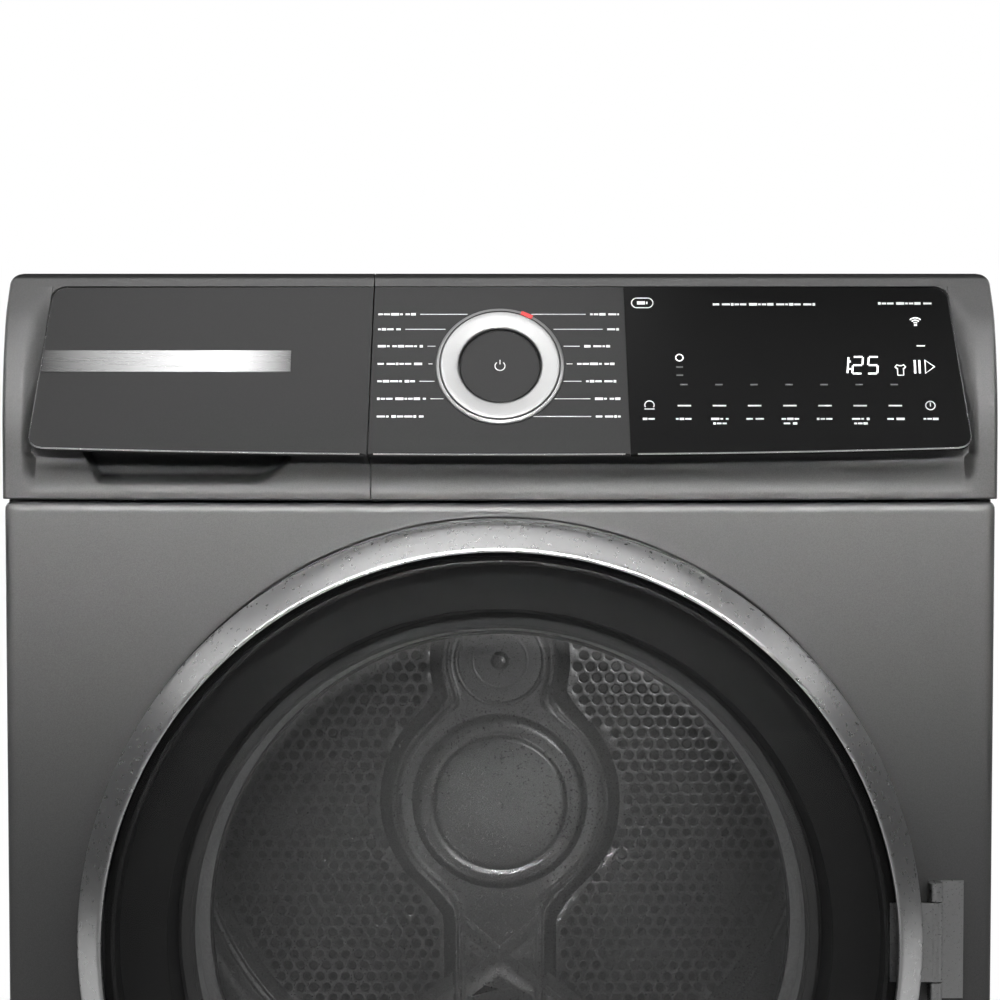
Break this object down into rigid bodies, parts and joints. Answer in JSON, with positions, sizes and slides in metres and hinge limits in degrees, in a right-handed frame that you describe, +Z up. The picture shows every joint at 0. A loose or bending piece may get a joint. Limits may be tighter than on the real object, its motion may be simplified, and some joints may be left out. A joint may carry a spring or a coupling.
{
  "type": "clothes dryer",
  "caption": "Front-loading tumble dryer with round hinged door, sloped control panel, turning drum, heat pump base and slide-out condensate drawer.",
  "frame": {"origin": "on the floor, under the middle of the bounding box", "axes": "+Z up, -Y towards the front with the door, +X to the right seen from the front"},
  "size_m": [0.598, 0.652, 0.842],
  "materials": {
    "graphite_paint": "satin metallic graphite paint",
    "graphite_plastic": "fine-grained graphite plastic",
    "fascia_grey": "satin dark grey",
    "display_black": "gloss black",
    "silver": "satin silver plated plastic",
    "marker_red": "red",
    "dark_glass": "smoked, polished",
    "clear_glass": "clear, polished",
    "black_plastic": "matt black",
    "grey_plastic": "matt grey",
    "steel": "stainless, satin",
    "galvanised": "bright zinc coated or aluminium",
    "rubber": "matt black rubber",
    "copper": "drawn copper",
    "compressor_black": "black enamel",
    "felt": "pressed wool felt"
  },
  "bodies": {
    "cabinet": {"base_tray": "black_plastic", "base_cover": "black_plastic", "side_panel_left": "graphite_paint", "side_panel_right": "graphite_paint", "rear_panel": "galvanised", "rear_duct_cover": "galvanised", "worktop": "graphite_plastic", "front_panel": "graphite_paint", "plinth_grille": "graphite_plastic", "front_bulkhead": "grey_plastic", "front_felt_seal": "felt", "lint_filter": "black_plastic", "drum_lamp": "clear_glass", "control_panel_frame": "graphite_plastic", "fascia_plate": "fascia_grey", "display_window": "display_black", "control_module": "black_plastic", "mains_gland": "black_plastic", "hinge_bracket": "steel", "door_lock": "black_plastic", "tank_channel": "black_plastic", "roller_axle_left": "steel", "roller_axle_right": "steel", "motor_stator": "galvanised", "drive_belt": "rubber", "idler_arm": "steel", "fan_housing": "black_plastic", "evaporator": "galvanised", "condenser_coil": "galvanised", "compressor": "compressor_black", "refrigerant_pipe": "copper", "condensate_pump": "black_plastic", "condensate_hose": "grey_plastic"},
    "door": {"door_ring": "silver", "door_glass": "dark_glass", "door_inner_frame": "black_plastic", "door_bowl": "clear_glass", "door_seal": "rubber", "door_hinge": "steel", "door_hook": "steel"},
    "drum": {"drum_shell": "steel", "drum_rear_wall": "steel", "paddle_1": "grey_plastic", "paddle_2": "grey_plastic", "paddle_3": "grey_plastic"},
    "roller_left": {"roller_left": "rubber"},
    "roller_right": {"roller_right": "rubber"},
    "motor_rotor": {"motor_shaft": "steel", "fan_impeller": "black_plastic"},
    "idler": {"idler_pulley": "black_plastic"},
    "knob": {"program_knob": "silver", "knob_marker": "marker_red"},
    "power_button": {"power_button": "fascia_grey"},
    "drawer": {"drawer_front": "graphite_plastic", "drawer_fascia": "fascia_grey", "condensate_tank": "grey_plastic"},
    "foot_front_left": {"foot_front_left": "rubber"},
    "foot_front_right": {"foot_front_right": "rubber"},
    "foot_rear_left": {"foot_rear_left": "rubber"},
    "foot_rear_right": {"foot_rear_right": "rubber"}
  },
  "joints": [
    {"name": "door_swing", "type": "hinge", "parent": "cabinet", "child": "door", "pos_m": [0.2625, -0.2925, 0.44], "axis": [0, 0, 1], "range_deg": [0, 130]},
    {"name": "drum_spin", "type": "hinge", "parent": "cabinet", "child": "drum", "pos_m": [0, 0, 0.445], "axis": [0, 1, 0], "continuous": true},
    {"name": "roller_left_spin", "type": "hinge", "parent": "cabinet", "child": "roller_left", "pos_m": [-0.19664, -0.203, 0.1933], "axis": [0, 1, 0], "continuous": true},
    {"name": "roller_right_spin", "type": "hinge", "parent": "cabinet", "child": "roller_right", "pos_m": [0.19664, -0.203, 0.1933], "axis": [0, 1, 0], "continuous": true},
    {"name": "motor_spin", "type": "hinge", "parent": "cabinet", "child": "motor_rotor", "pos_m": [0.19, 0.016, 0.115], "axis": [0, 1, 0], "continuous": true},
    {"name": "idler_spin", "type": "hinge", "parent": "cabinet", "child": "idler", "pos_m": [0.24048, 0.016, 0.16324], "axis": [0, 1, 0], "continuous": true},
    {"name": "knob_turn", "type": "hinge", "parent": "cabinet", "child": "knob", "pos_m": [0, -0.27279, 0.7864], "axis": [0, -0.8805, 0.4741], "continuous": true},
    {"name": "power_press", "type": "slide", "parent": "cabinet", "child": "power_button", "axis": [0, 0.8805, -0.4741], "range_m": [0, 0.0015], "stiffness_N_per_m": 400, "springref_m": -0.002},
    {"name": "drawer_slide", "type": "slide", "parent": "cabinet", "child": "drawer", "axis": [0, -1, 0], "range_m": [0, 0.42]},
    {"name": "foot_front_left_height", "type": "slide", "parent": "cabinet", "child": "foot_front_left", "axis": [0, 0, -1], "range_m": [0, 0.015]},
    {"name": "foot_front_right_height", "type": "slide", "parent": "cabinet", "child": "foot_front_right", "axis": [0, 0, -1], "range_m": [0, 0.015]},
    {"name": "foot_rear_left_height", "type": "slide", "parent": "cabinet", "child": "foot_rear_left", "axis": [0, 0, -1], "range_m": [0, 0.015]},
    {"name": "foot_rear_right_height", "type": "slide", "parent": "cabinet", "child": "foot_rear_right", "axis": [0, 0, -1], "range_m": [0, 0.015]}
  ],
  "couplings": [
    {"joint": "roller_left_spin", "follows": "drum_spin", "ratio": -8.1143},
    {"joint": "roller_right_spin", "follows": "drum_spin", "ratio": -8.1143},
    {"joint": "motor_spin", "follows": "drum_spin", "ratio": 20.393},
    {"joint": "idler_spin", "follows": "drum_spin", "ratio": -17.938}
  ]
}
